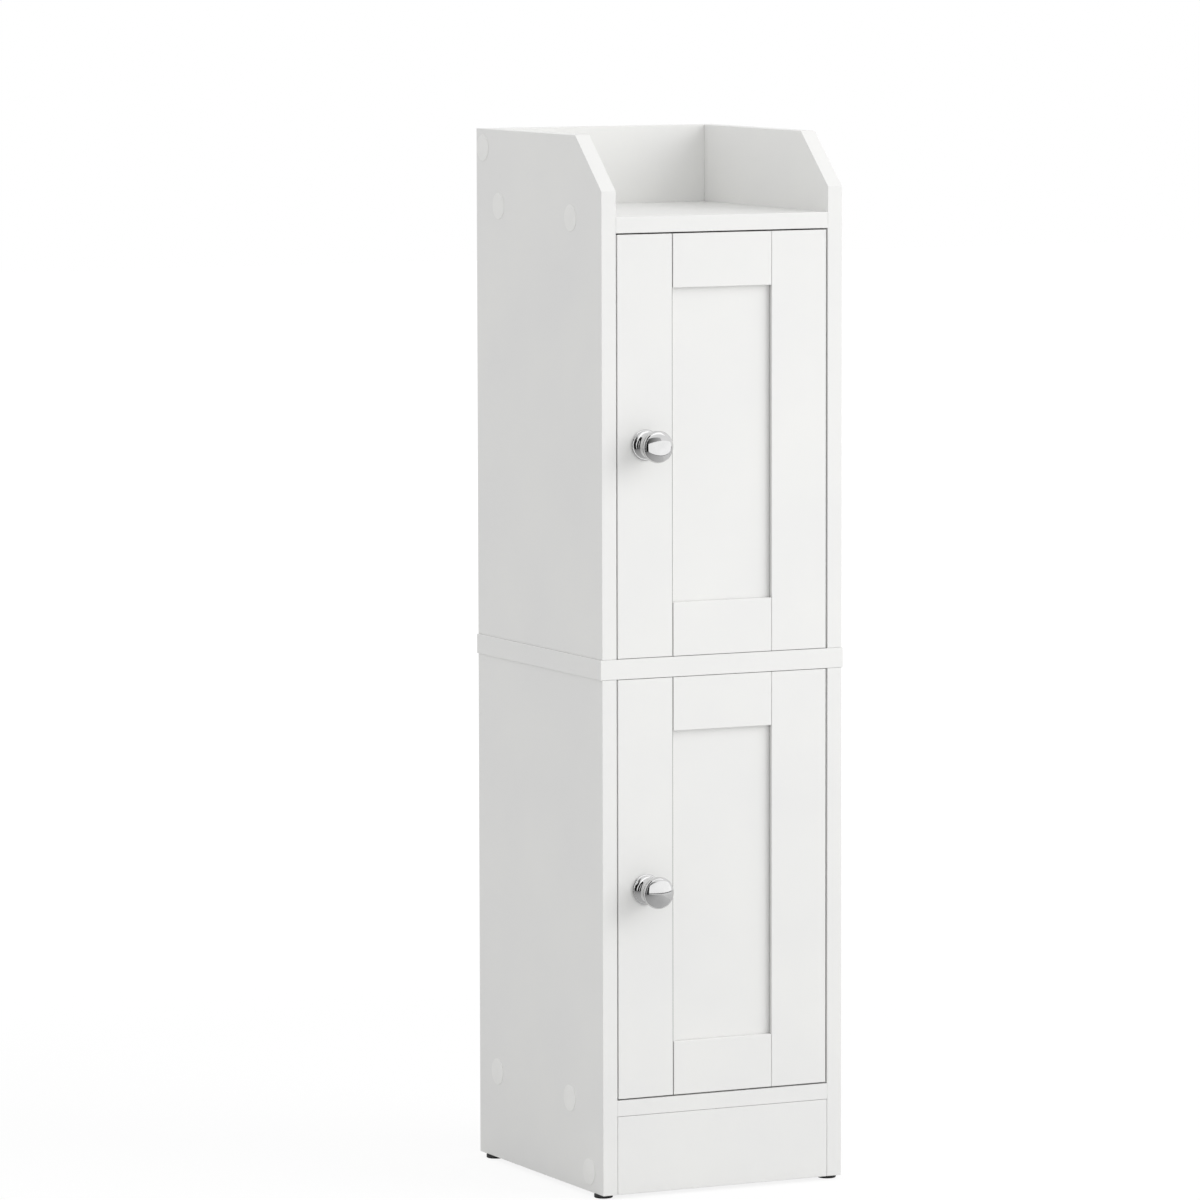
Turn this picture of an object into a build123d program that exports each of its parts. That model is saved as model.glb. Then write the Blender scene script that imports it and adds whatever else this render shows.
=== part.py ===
from build123d import *
import os
from math import cos, radians, sin

# Carcass sizes, in millimetres
WIDTH = 200.0
DEPTH = 216.0
BOARD = 12.0
MIDDLE_BOARD = 15.0
MIDDLE_PROUD = 1.2
KICK_HEIGHT = 59.0
OPENING_HEIGHT = 315.0
GALLERY_HEIGHT = 59.0
CHAMFER_DEPTH = 44.0
CHAMFER_HEIGHT = 40.0
GLIDE_HEIGHT = 3.0
GLIDE_RADIUS = 7.0
EDGE_RADIUS = 0.4
KICK_PLAY = 0.25
END_RELIEF = (0.15, 3.0)

# Thin back panels in their grooves
BACK_THICKNESS = 3.0
BACK_INSET = 6.0
GROOVE_DEPTH = 5.0
GROOVE_PLAY = 0.1

# Adjustable shelves and their pins
SHELF_SET_BACK = 34.0
SHELF_PLAY = 0.6
PIN_ROWS = (55.0, 166.0)
PIN_STEP = 32.0
PIN_RADIUS = 2.5
PIN_DEPTH = 8.0
PIN_HEAD_RADIUS = 4.5
PIN_HEAD = 7.0

# Doors, each hung with its own gap below
DOOR_THICKNESS = 15.0
DOOR_HEIGHT = 313.5
BOTTOM_GAPS = {"lower": 1.1, "upper": 0.4}
HINGE_GAP = 1.5
KNOB_GAP = 1.0
STILE = 45.5
RAIL = 40.0
JOINT_GAP = 0.3
PANEL_THICKNESS = 6.0
PANEL_RECESS = 4.5
PANEL_PLAY = 0.4
DOOR_GROOVE = 6.0

# Knob centres above the compartment floors
KNOB_HEIGHTS = {"lower": 157.2, "upper": 158.3}

# Knob outline in (radius, out from the door front): where it starts, then each arc's middle and end
KNOB_OUT = 28.0
KNOB_START = (11.2, 0.0)
KNOB_ARCS = {
    "rosette rim": ((11.6, 0.7), (11.2, 1.5)),
    "step": ((10.8, 1.8), (10.2, 1.9)),
    "dish": ((7.3, 5.0), (6.0, 8.6)),
    "bead": ((6.8, 9.5), (6.0, 10.4)),
    "neck": ((4.7, 12.6), (5.6, 15.0)),
    "collar": ((6.4, 15.6), (6.0, 16.3)),
    "flare": ((8.6, 18.2), (11.2, 18.9)),
    "head rim": ((11.8, 19.5), (11.3, 20.1)),
    "groove": ((11.35, 20.5), (11.86, 20.71)),
    "shoulder": ((12.0, 21.62), (10.9, 24.0)),
}
KNOB_SCREW_RADIUS = 1.9
KNOB_SCREW_HEAD = (4.0, 2.2)
KNOB_SCREW_GRIP = 9.0

# Screws, covers, dowels and cam fittings; a pan head is (radius, height), and its crown and
# brim are the top's radius and the rim's height as parts of them
SCREW_RADIUS = 1.8
SCREW_HEAD_RADIUS = 3.6
SCREW_LENGTH = 32.0
PAN_HEAD = (3.4, 1.6)
PAN_CROWN = 0.6
PAN_BRIM = 0.45
PAN_SCREW_LENGTH = 10.5
PAN_HOLE = 11.0
COVER_RADIUS = 10.0
COVER_THICKNESS = 0.4
DOWEL_RADIUS = 3.0
DOWEL_IN_SIDE = 8.0
DOWEL_IN_BOARD = 12.0
CAM_RADIUS = 6.0
CAM_DEPTH = 9.5
CAM_SINK = 0.2
CAM_SLOT = (3.6, 0.6, 1.6)
CAM_FROM_JOINT = 24.0
CAM_ROWS = (37.0, 171.0)
CAM_BOLT_RADIUS = 2.5
CAM_BOLT_SHORT = 1.5
CAM_BOLT_PLAY = 0.3
MIDDLE_DOWEL_ROW = 104.0
HOLE_PLAY = 0.1
HOLE_OVER = 1.0

# Dowels in the board ends: behind the front, and above the carcass bottom
LOWER_DOWELS = ((120.0, 65.0), (6.0, 36.0))
UPPER_DOWELS = ((114.0, 722.0), (210.0, 742.0))

# Screw places on the side boards: behind the front, and above the carcass bottom
LOWER_SCREWS = ((184.0, 65.5), (56.9, 65.0), (23.9, 15.0))
UPPER_SCREWS = ((176.9, 724.0), (52.1, 722.5), (209.5, 771.5))
# How far each stuck-on cover sits off its screw, because covers are pressed on by hand
LOWER_COVER_SHIFTS = ((0.2, 1.1), (0.0, 0.7), (0.0, 0.0))
UPPER_COVER_SHIFTS = ((0.0, 5.5), (0.0, 3.1), (-5.0, 1.2))

# Blocks behind the kick board
BLOCK = 22.0
BLOCK_HEIGHT = 40.0
BLOCK_LIFT = 3.0
BLOCK_CHAMFER = 1.0

# Floor glides: distance of the front and back pair from the front and the back
GLIDE_ROWS = (12.0, 15.0)
GLIDE_CHAMFER = 0.8
GLIDE_TOP_CHAMFER = 0.3

# Concealed hinge: its one pivot lies on the cup's axis
HINGE_FROM_END = 62.0
CUP_TAB = 3.3
CUP_RADIUS = 17.4
CUP_WALL = 0.9
CUP_FLOOR = 3.5
CUP_POCKET = 8.5
CUP_FLANGE = 1.2
CUP_RIM = 1.6
CUP_EAR_RADIUS = 6.0
CUP_EAR_OUT = 24.0
CUP_EAR_SHIFT = 6.0
PIVOT_DEPTH = 7.2
PIVOT_RADIUS = 1.25
PIVOT_HALF = 10.5
RUNNING_PLAY = 0.05
EYE_RADIUS = 2.6
ARM_HALF = 7.0
ARM_CHEEK = 1.2
ARM_BROAD = 3.6
ARM_WEB = 1.4
ARM_REACH = 33.0
ARM_SWING = 26.0
ARM_ANGLE = 143.0
ARM_BACK = 68.0
ARM_RISE = 5.6
ARM_KNEE = 5.0
ARM_BENDS = (5.0, 5.0, 6.0)
ARM_SCREWS = ((60.0, 3.0), (48.0, 2.4))
ARM_SCREW_HEAD = 1.4
ARM_SCREW_LENGTH = 5.0
RIDGE = (41.0, 67.0)
PLATE_THICKNESS = 2.0
PLATE_SCREW_ROW = 52.0
PLATE_SCREW_OUT = 16.0
PLATE_EAR = 6.5
RIDGE_PLAY = 0.2

# Magnetic catch and its strike plate
CATCH_CASE = (26.0, 14.0, 13.0)
CATCH_CORNER = 1.5
CATCH_WALL = 2.0
CATCH_EAR = 2.5
CATCH_EAR_REACH = 22.0
CATCH_SCREW_OUT = 17.5
MAGNET_SIDE = 3.0
MAGNET_TOP = 4.5
MAGNET_TALL = 6.0
MAGNET_SHORT = 2.5
MAGNET_OUT = 0.8
MAGNET_GAP = 0.4
STRIKE = (32.0, 0.8, 12.0)
STRIKE_CORNER = 2.0
STRIKE_SCREW_RADIUS = 1.3
STRIKE_SCREW_HEAD = (2.2, 0.3)
STRIKE_SCREW_LENGTH = 8.0
STRIKE_SCREW_IN = 2.6

# Places worked out from the driving sizes
FRONT = -(DEPTH - KNOB_OUT) / 2
BACK = FRONT + DEPTH
BOTTOM = GLIDE_HEIGHT
OUTER = WIDTH / 2
INNER = OUTER - BOARD
LOWER_FLOOR = BOTTOM + KICK_HEIGHT + BOARD
LOWER_CEILING = LOWER_FLOOR + OPENING_HEIGHT
UPPER_FLOOR = LOWER_CEILING + MIDDLE_BOARD
UPPER_CEILING = UPPER_FLOOR + OPENING_HEIGHT
SHELF_TOP = UPPER_CEILING + BOARD
TOP = SHELF_TOP + GALLERY_HEIGHT
GROOVE_BACK = BACK - BACK_INSET
GROOVE_FRONT = GROOVE_BACK - BACK_THICKNESS
DOOR_LEFT = -INNER + KNOB_GAP
DOOR_RIGHT = INNER - HINGE_GAP
DOOR_BACK = FRONT + DOOR_THICKNESS
KNOB_X = DOOR_LEFT + STILE / 2
PIVOT_X = DOOR_RIGHT - CUP_TAB - CUP_RADIUS
PIVOT_Y = FRONT + PIVOT_DEPTH
SCREW_DEPTH = SCREW_LENGTH - BOARD
FLOORS = {"lower": LOWER_FLOOR, "upper": UPPER_FLOOR}


def block(x, y, z):
    """Box from its (low, high) range along each axis."""
    low, high = zip(x, y, z)
    size = [b - a for a, b in zip(low, high)]
    middle = [(a + b) / 2 for a, b in zip(low, high)]
    return Pos(*middle) * Box(*size)


def rod(radius, start, end):
    """Round bar from one point to another."""
    line = Vector(*end) - Vector(*start)
    return extrude(Plane(origin=start, z_dir=line) * Circle(radius), line.length)


def turned(points, place=Plane.XY):
    """Turned piece from its (radius, height) outline, set on a plane."""
    outline = Plane.XZ * make_face(Polyline(*points, close=True))
    return place * revolve(outline, Axis.Z)


def eased(board):
    """The board with every edge slightly rounded, as on lacquered panels."""
    return fillet(board.edges(), EDGE_RADIUS)


def both_sides(part):
    """A left piece and its mirror image on the right."""
    return [part, mirror(part, about=Plane.YZ)]


def save(name, *solids):
    """Writes one named piece, or one group of like pieces."""
    shape = solids[0] if len(solids) == 1 else Compound(children=list(solids))
    export_step(shape, f"parts/{name}.step")


# Screws and dowels


def wood_screw(radius, head_radius, length, place):
    """Countersunk screw whose head lies in the plane and whose tip points along its normal."""
    head = head_radius - radius
    tip = length - 2 * radius
    outline = [(0, 0), (head_radius, 0), (radius, head), (radius, tip), (0, length)]
    return turned(outline, place)


def pan_screw(radius, pan, length, place):
    """Pan-head screw whose head stands out of the plane, against its normal."""
    head_radius, head = pan
    outline = [
        (0, -head),
        (head_radius * PAN_CROWN, -head),
        (head_radius, -head * PAN_BRIM),
        (head_radius, 0),
        (radius, 0),
        (radius, length - radius),
        (radius / 2, length),
        (0, length),
    ]
    return turned(outline, place)


def side_screw_cut(row, height):
    """Clearance hole and countersink through the left side board."""
    play = HOLE_PLAY
    place = Plane(origin=(-OUTER, FRONT + row, BOTTOM + height), z_dir=(1, 0, 0))
    return wood_screw(SCREW_RADIUS + play, SCREW_HEAD_RADIUS + play, SCREW_LENGTH + 2 * HOLE_OVER, place)


def end_cuts(places):
    """Pilot holes for the side screws, in both ends of a board between the sides."""
    cuts = []
    for row, height in places:
        start = (-INNER, FRONT + row, BOTTOM + height)
        end = (-INNER + SCREW_DEPTH + HOLE_OVER, FRONT + row, BOTTOM + height)
        cuts += both_sides(rod(SCREW_RADIUS + HOLE_PLAY, start, end))
    return cuts


def side_screw(row, height):
    place = Plane(origin=(-OUTER, FRONT + row, BOTTOM + height), z_dir=(1, 0, 0))
    return wood_screw(SCREW_RADIUS, SCREW_HEAD_RADIUS, SCREW_LENGTH, place)


def screw_cover(row, height):
    start = (-OUTER, FRONT + row, BOTTOM + height)
    end = (-OUTER - COVER_THICKNESS, FRONT + row, BOTTOM + height)
    return rod(COVER_RADIUS, start, end)


def end_dowel(row, height, play=0.0):
    """Dowel from a side board into a board end, or with some play its hole."""
    y, z = FRONT + row, BOTTOM + height
    start = (-INNER - DOWEL_IN_SIDE - play, y, z)
    end = (-INNER + DOWEL_IN_BOARD + play, y, z)
    return rod(DOWEL_RADIUS + play, start, end)


def end_dowel_cuts(places):
    cuts = []
    for place in places:
        cuts += both_sides(end_dowel(*place, play=HOLE_PLAY))
    return cuts


def middle_dowel(play=0.0):
    """Dowel that passes through the middle board into the sides below and above."""
    x, y = -INNER - BOARD / 2, FRONT + MIDDLE_DOWEL_ROW
    low = LOWER_CEILING - DOWEL_IN_BOARD - play
    high = UPPER_FLOOR + DOWEL_IN_BOARD + play
    return rod(DOWEL_RADIUS + play, (x, y, low), (x, y, high))


# Cam fittings at the middle board


def cam_places(level):
    """Centres of the cams in the left side board, as (behind the front, height)."""
    height = LOWER_CEILING - CAM_FROM_JOINT if level == "lower" else UPPER_FLOOR + CAM_FROM_JOINT
    return [(row, height) for row in CAM_ROWS]


def cam_disc(row, height, joint):
    """Cam with a pocket for the bolt head and a cross slot for the driver."""
    y = FRONT + row
    disc = rod(CAM_RADIUS - HOLE_PLAY, (-INNER - CAM_DEPTH + CAM_SINK, y, height), (-INNER, y, height))
    axis = -INNER - BOARD / 2
    mouth = height + joint * CAM_RADIUS
    disc -= rod(CAM_BOLT_RADIUS + CAM_BOLT_PLAY, (axis, y, height - joint), (axis, y, mouth))
    reach, half, deep = CAM_SLOT
    for long, wide in ((reach, half), (half, reach)):
        x = (-INNER - deep, -INNER + HOLE_OVER)
        disc -= block(x, (y - long, y + long), (height - wide, height + wide))
    return disc


def cam_bolt(row, play=0.0):
    """Double-ended bolt between the cams below and above the middle board."""
    x, y = -INNER - BOARD / 2, FRONT + row
    reach = CAM_FROM_JOINT - CAM_BOLT_SHORT
    low, high = LOWER_CEILING - reach, UPPER_FLOOR + reach
    return rod(CAM_BOLT_RADIUS + play, (x, y, low), (x, y, high))


# Side boards


def side_outline(level):
    """Outline of a side board, as (behind the origin, height) points."""
    if level == "lower":
        return [(FRONT, BOTTOM), (BACK, BOTTOM), (BACK, LOWER_CEILING), (FRONT, LOWER_CEILING)]
    return [
        (FRONT, UPPER_FLOOR),
        (BACK, UPPER_FLOOR),
        (BACK, TOP),
        (FRONT + CHAMFER_DEPTH, TOP),
        (FRONT, TOP - CHAMFER_HEIGHT),
    ]


def pin_heights(level):
    middle = FLOORS[level] + OPENING_HEIGHT / 2
    return [middle - PIN_STEP, middle, middle + PIN_STEP]


def side_board(level):
    """Left side board with its groove, screw holes, dowel holes, cam bores and shelf-pin holes."""
    outline = Plane.YZ.offset(-OUTER) * make_face(Polyline(*side_outline(level), close=True))
    board = eased(extrude(outline, BOARD))
    floor = FLOORS[level]
    groove_z = (floor - GROOVE_DEPTH, floor + OPENING_HEIGHT + GROOVE_DEPTH)
    groove_y = (GROOVE_FRONT - GROOVE_PLAY, GROOVE_BACK + GROOVE_PLAY)
    board -= block((-INNER - GROOVE_DEPTH, -INNER + HOLE_OVER), groove_y, groove_z)
    lower = level == "lower"
    cuts = [side_screw_cut(*place) for place in (LOWER_SCREWS if lower else UPPER_SCREWS)]
    cuts += [end_dowel(*place, play=HOLE_PLAY) for place in (LOWER_DOWELS if lower else UPPER_DOWELS)]
    cuts += [middle_dowel(HOLE_PLAY)]
    for row, height in cam_places(level):
        y = FRONT + row
        cuts.append(rod(CAM_RADIUS, (-INNER - CAM_DEPTH, y, height), (-INNER + HOLE_OVER, y, height)))
        cuts.append(cam_bolt(row, HOLE_PLAY))
    for row in PIN_ROWS:
        for height in pin_heights(level):
            start = (-INNER - PIN_DEPTH, FRONT + row, height)
            cuts.append(rod(PIN_RADIUS, start, (-INNER + HOLE_OVER, FRONT + row, height)))
    for cut in cuts:
        board -= cut
    return board - end_relief(level)


def end_relief(level):
    """Hair's breadth taken off the front of a side board's end at the middle board."""
    hair, deep = END_RELIEF
    z = (LOWER_CEILING - hair, LOWER_CEILING + hair)
    if level == "upper":
        z = (UPPER_FLOOR - hair, UPPER_FLOOR + hair)
    return block((-OUTER, -INNER), (FRONT, FRONT + deep), z)


# Boards between the sides


def back_groove(z):
    """Groove for the edge of a back panel across a board, over the given height range."""
    y = (GROOVE_FRONT - GROOVE_PLAY, GROOVE_BACK + GROOVE_PLAY)
    return block((-OUTER, OUTER), y, z)


def inner_board(y, z, cuts, play=0.0):
    """Board between the side boards, with its cuts, and with some play at its ends."""
    board = eased(block((-INNER + play, INNER - play), y, z))
    for cut in cuts:
        board -= cut
    return board


def middle_board():
    """Thicker board that parts the two compartments and stands slightly proud at the sides."""
    reach = OUTER + MIDDLE_PROUD
    board = eased(block((-reach, reach), (FRONT, BACK), (LOWER_CEILING, UPPER_FLOOR)))
    half = INNER + GROOVE_DEPTH
    y = (GROOVE_FRONT - GROOVE_PLAY, GROOVE_BACK + GROOVE_PLAY)
    board -= block((-half, half), y, (LOWER_CEILING - HOLE_OVER, LOWER_CEILING + GROOVE_DEPTH))
    board -= block((-half, half), y, (UPPER_FLOOR - GROOVE_DEPTH, UPPER_FLOOR + HOLE_OVER))
    for cut in both_sides(middle_dowel(HOLE_PLAY)):
        board -= cut
    for row in CAM_ROWS:
        for cut in both_sides(cam_bolt(row, HOLE_PLAY)):
            board -= cut
    return board


def back_panel(level):
    reach = INNER + GROOVE_DEPTH - GROOVE_PLAY
    floor = FLOORS[level]
    over = GROOVE_DEPTH - GROOVE_PLAY
    z = (floor - over, floor + OPENING_HEIGHT + over)
    return block((-reach, reach), (GROOVE_FRONT, GROOVE_BACK), z)


def adjustable_shelf(level):
    """Loose shelf that lies on the middle pin holes, behind the swing of the door edge."""
    low = FLOORS[level] + OPENING_HEIGHT / 2
    x = (-INNER + SHELF_PLAY, INNER - SHELF_PLAY)
    y = (FRONT + SHELF_SET_BACK, GROOVE_FRONT - SHELF_PLAY)
    return eased(block(x, y, (low, low + BOARD)))


def shelf_pin(row, height):
    """Peg in the side board with a half-round head under the shelf."""
    y = FRONT + row
    peg = rod(PIN_RADIUS - HOLE_PLAY, (-INNER - PIN_DEPTH + HOLE_PLAY, y, height), (-INNER, y, height))
    head = rod(PIN_HEAD_RADIUS, (-INNER, y, height), (-INNER + PIN_HEAD, y, height))
    across = (y - 2 * PIN_HEAD_RADIUS, y + 2 * PIN_HEAD_RADIUS)
    head -= block((-INNER, -INNER + PIN_HEAD), across, (height, height + 2 * PIN_HEAD_RADIUS))
    return peg + head


def corner_block():
    """Wooden block in the corner behind the kick board, fixed by the lowest side screw."""
    y = (FRONT + BOARD, FRONT + BOARD + BLOCK)
    low = BOTTOM + BLOCK_LIFT
    part = block((-INNER, -INNER + BLOCK), y, (low, low + BLOCK_HEIGHT))
    part = chamfer(part.edges(), BLOCK_CHAMFER)
    for cut in end_cuts(LOWER_SCREWS[2:]):
        part -= cut
    return part


def floor_glide(y):
    """Round glide under the end of a side board."""
    outline = [
        (0, 0),
        (GLIDE_RADIUS - GLIDE_CHAMFER, 0),
        (GLIDE_RADIUS, GLIDE_CHAMFER),
        (GLIDE_RADIUS, GLIDE_HEIGHT - GLIDE_TOP_CHAMFER),
        (GLIDE_RADIUS - GLIDE_TOP_CHAMFER, GLIDE_HEIGHT),
        (0, GLIDE_HEIGHT),
    ]
    return turned(outline, Plane(origin=(-INNER - BOARD / 2, y, 0)))


# Concealed hinge, drawn in plan about its pivot: X to the side board, Y to the back


def door_zone(level):
    """Lowest and highest Z of a door."""
    low = FLOORS[level] + BOTTOM_GAPS[level]
    return low, low + DOOR_HEIGHT


def hinge_heights(level):
    low, high = door_zone(level)
    return [low + HINGE_FROM_END, high - HINGE_FROM_END]


def arm_line():
    """Line of the cranked arm in plan, from its back end round the door edge to the pivot."""
    straight = INNER - PLATE_THICKNESS - ARM_RISE
    bend = (
        PIVOT_X + ARM_SWING * cos(radians(ARM_ANGLE)),
        PIVOT_Y + ARM_SWING * sin(radians(ARM_ANGLE)),
    )
    points = [
        (straight, FRONT + ARM_BACK),
        (straight, FRONT + ARM_REACH),
        (bend[0] + ARM_KNEE, FRONT + ARM_REACH),
        bend,
        (PIVOT_X, PIVOT_Y),
    ]
    return FilletPolyline(*points, radius=ARM_BENDS)


def hinge_arm(height):
    """Pressed channel arm: a web, two cheeks and a rolled eye for the pivot pin."""
    line = arm_line()
    cheek = extrude(trace(line, ARM_BROAD), ARM_CHEEK)
    web_shift = (ARM_BROAD - ARM_WEB) / 2
    web_line = line.offset_2d(web_shift, side=Side.RIGHT, closed=False)
    web = extrude(trace(web_line, ARM_WEB), 2 * ARM_HALF)
    eye = extrude(Pos(PIVOT_X, PIVOT_Y) * Circle(EYE_RADIUS), 2 * ARM_HALF)
    arm = web + cheek + Pos(0, 0, 2 * ARM_HALF - ARM_CHEEK) * cheek + eye
    arm -= Pos(PIVOT_X, PIVOT_Y) * Cylinder(PIVOT_RADIUS + RUNNING_PLAY, 6 * ARM_HALF)
    return Pos(0, 0, height - ARM_HALF) * arm


def mounting_plate(height):
    """Plate on the side board: two screwed ears and a ridge that the arm straddles."""
    y, foot = FRONT + PLATE_SCREW_ROW, INNER - PLATE_THICKNESS
    ears = make_hull(
        [
            edge
            for out in (-PLATE_SCREW_OUT, PLATE_SCREW_OUT)
            for edge in (Pos(0, out) * Circle(PLATE_EAR)).edges()
        ]
    )
    base = Plane(origin=(INNER, y, height), x_dir=(0, 1, 0), z_dir=(-1, 0, 0)) * ears
    plate = extrude(base, PLATE_THICKNESS)
    half = ARM_HALF - ARM_CHEEK - RIDGE_PLAY
    rise = ARM_RISE + ARM_BROAD / 2 - ARM_WEB - RIDGE_PLAY
    ridge_y = (FRONT + RIDGE[0], FRONT + RIDGE[1])
    plate += block((foot - rise, INNER), ridge_y, (height - half, height + half))
    for out in (-PLATE_SCREW_OUT, PLATE_SCREW_OUT):
        at = height + out
        plate -= rod(SCREW_RADIUS + HOLE_PLAY, (INNER, y, at), (INNER - PAN_HOLE, y, at))
    return plate


def hinge_cup(height):
    """Drawn cup with a pocket for the arm, pin bosses and an eared flange."""
    centre = Plane(origin=(PIVOT_X, DOOR_BACK, height), x_dir=(1, 0, 0), z_dir=(0, 1, 0))
    depth = DOOR_THICKNESS - CUP_FLOOR
    body = extrude(centre * Circle(CUP_RADIUS), -depth)
    shapes = [Circle(CUP_RADIUS + CUP_RIM)]
    for out in (-CUP_EAR_OUT, CUP_EAR_OUT):
        shapes.append(Pos(-CUP_EAR_SHIFT, out) * Circle(CUP_EAR_RADIUS))
    flange = make_hull([edge for shape in shapes for edge in shape.edges()])
    body += extrude(centre * flange, CUP_FLANGE)
    pocket = Circle(CUP_RADIUS - CUP_WALL) & Rectangle(4 * CUP_RADIUS, 2 * CUP_POCKET)
    floor = depth - CUP_WALL
    body -= extrude(centre.offset(CUP_FLANGE) * pocket, -(floor + CUP_FLANGE))
    body -= rod(
        PIVOT_RADIUS + RUNNING_PLAY,
        (PIVOT_X, PIVOT_Y, height - PIVOT_HALF),
        (PIVOT_X, PIVOT_Y, height + PIVOT_HALF),
    )
    for out in (-CUP_EAR_OUT, CUP_EAR_OUT):
        hole = centre * Pos(-CUP_EAR_SHIFT, out) * Circle(SCREW_RADIUS + HOLE_PLAY)
        body -= extrude(hole, 3 * CUP_FLANGE, both=True)
    return body


def cup_pin(height):
    return rod(
        PIVOT_RADIUS,
        (PIVOT_X, PIVOT_Y, height - PIVOT_HALF),
        (PIVOT_X, PIVOT_Y, height + PIVOT_HALF),
    )


def cup_screw_places(height):
    x, y = PIVOT_X - CUP_EAR_SHIFT, DOOR_BACK + CUP_FLANGE
    return [(x, y, height + out) for out in (-CUP_EAR_OUT, CUP_EAR_OUT)]


def cup_screw(place):
    return pan_screw(SCREW_RADIUS, PAN_HEAD, PAN_SCREW_LENGTH, Plane(origin=place, z_dir=(0, -1, 0)))


def plate_screws(height):
    y, x = FRONT + PLATE_SCREW_ROW, INNER - PLATE_THICKNESS
    screws = []
    for out in (-PLATE_SCREW_OUT, PLATE_SCREW_OUT):
        place = Plane(origin=(x, y, height + out), z_dir=(1, 0, 0))
        screws.append(pan_screw(SCREW_RADIUS, PAN_HEAD, PAN_SCREW_LENGTH, place))
    return screws


def arm_screws(height):
    """Fixing screw and adjusting screw of the arm, with their heads on the web."""
    x = INNER - PLATE_THICKNESS - ARM_RISE - ARM_BROAD / 2
    screws = []
    for row, radius in ARM_SCREWS:
        place = Plane(origin=(x, FRONT + row, height), z_dir=(1, 0, 0))
        screws.append(pan_screw(radius / 2, (radius, ARM_SCREW_HEAD), ARM_SCREW_LENGTH, place))
    return screws


def arm_screw_cuts(height):
    x = INNER - PLATE_THICKNESS - ARM_RISE - ARM_BROAD / 2
    end = x + ARM_SCREW_LENGTH + HOLE_PLAY
    cuts = []
    for row, radius in ARM_SCREWS:
        y = FRONT + row
        cuts.append(rod(radius / 2 + HOLE_PLAY, (x - HOLE_OVER, y, height), (end, y, height)))
    return cuts


# Shaker door


def groove_range():
    """Depth range of the groove: the panel lies against its back, with the play in front."""
    front = FRONT + PANEL_RECESS
    return front - PANEL_PLAY, front + PANEL_THICKNESS


def stile(x, inner_edge, turn, level):
    """Upright of the frame, with the panel groove along its inner edge."""
    low, high = door_zone(level)
    part = eased(block(x, (FRONT, DOOR_BACK), (low, high)))
    groove_x = sorted((inner_edge + turn * HOLE_OVER, inner_edge - turn * DOOR_GROOVE))
    return part - block(groove_x, groove_range(), (low, high))


def left_stile(level):
    inner = DOOR_LEFT + STILE
    part = stile((DOOR_LEFT, inner), inner, 1, level)
    z = FLOORS[level] + KNOB_HEIGHTS[level]
    return part - rod(KNOB_SCREW_RADIUS + HOLE_PLAY, (KNOB_X, FRONT, z), (KNOB_X, DOOR_BACK, z))


def right_stile(level):
    inner = DOOR_RIGHT - STILE
    part = stile((inner, DOOR_RIGHT), inner, -1, level)
    for height in hinge_heights(level):
        floor = FRONT + CUP_FLOOR - HOLE_PLAY
        part -= rod(CUP_RADIUS + HOLE_PLAY, (PIVOT_X, floor, height), (PIVOT_X, DOOR_BACK, height))
        for x, y, z in cup_screw_places(height):
            part -= rod(SCREW_RADIUS + HOLE_PLAY, (x, y - PAN_HOLE, z), (x, y, z))
    return part


def rail(z, turn, level):
    """Cross piece whose tongues bottom in the stile grooves and leave a fine gap at the shoulders."""
    left, right = DOOR_LEFT + STILE, DOOR_RIGHT - STILE
    part = eased(block((left + JOINT_GAP, right - JOINT_GAP), (FRONT, DOOR_BACK), z))
    tongue_x = (left - DOOR_GROOVE, right + DOOR_GROOVE)
    part += block(tongue_x, (FRONT + PANEL_RECESS, FRONT + PANEL_RECESS + PANEL_THICKNESS), z)
    edge = z[1] if turn > 0 else z[0]
    groove_z = sorted((edge + turn * HOLE_OVER, edge - turn * DOOR_GROOVE))
    return part - block(tongue_x, groove_range(), groove_z)


def door_panel(level):
    """Thin flat panel held in the grooves of the frame."""
    low, high = door_zone(level)
    over = DOOR_GROOVE - GROOVE_PLAY
    x = (DOOR_LEFT + STILE - over, DOOR_RIGHT - STILE + over)
    y = (FRONT + PANEL_RECESS, FRONT + PANEL_RECESS + PANEL_THICKNESS)
    return block(x, y, (low + RAIL - over, high - RAIL + over))


def knob(level):
    """Turned knob: dished rosette, ringed neck and a domed mushroom head."""
    line = [Line((0, 0), KNOB_START)]
    at = KNOB_START
    for through, end in KNOB_ARCS.values():
        line.append(ThreePointArc(at, through, end))
        at = end
    line += [TangentArc((0, KNOB_OUT), at, tangent=(1, 0)), Line((0, KNOB_OUT), (0, 0))]
    part = revolve(Plane.XZ * make_face(line), Axis.Z)
    part -= extrude(Circle(KNOB_SCREW_RADIUS + HOLE_PLAY), KNOB_SCREW_GRIP + HOLE_OVER)
    height = FLOORS[level] + KNOB_HEIGHTS[level]
    return Plane(origin=(KNOB_X, FRONT, height), z_dir=(0, -1, 0)) * part


def knob_screw(level):
    height = FLOORS[level] + KNOB_HEIGHTS[level]
    place = Plane(origin=(KNOB_X, DOOR_BACK, height), z_dir=(0, -1, 0))
    return pan_screw(KNOB_SCREW_RADIUS, KNOB_SCREW_HEAD, DOOR_THICKNESS + KNOB_SCREW_GRIP, place)


# Magnetic catch under each ceiling, and the strike plate on the door


def catch_front():
    return DOOR_BACK + STRIKE[1] + MAGNET_GAP


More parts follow.
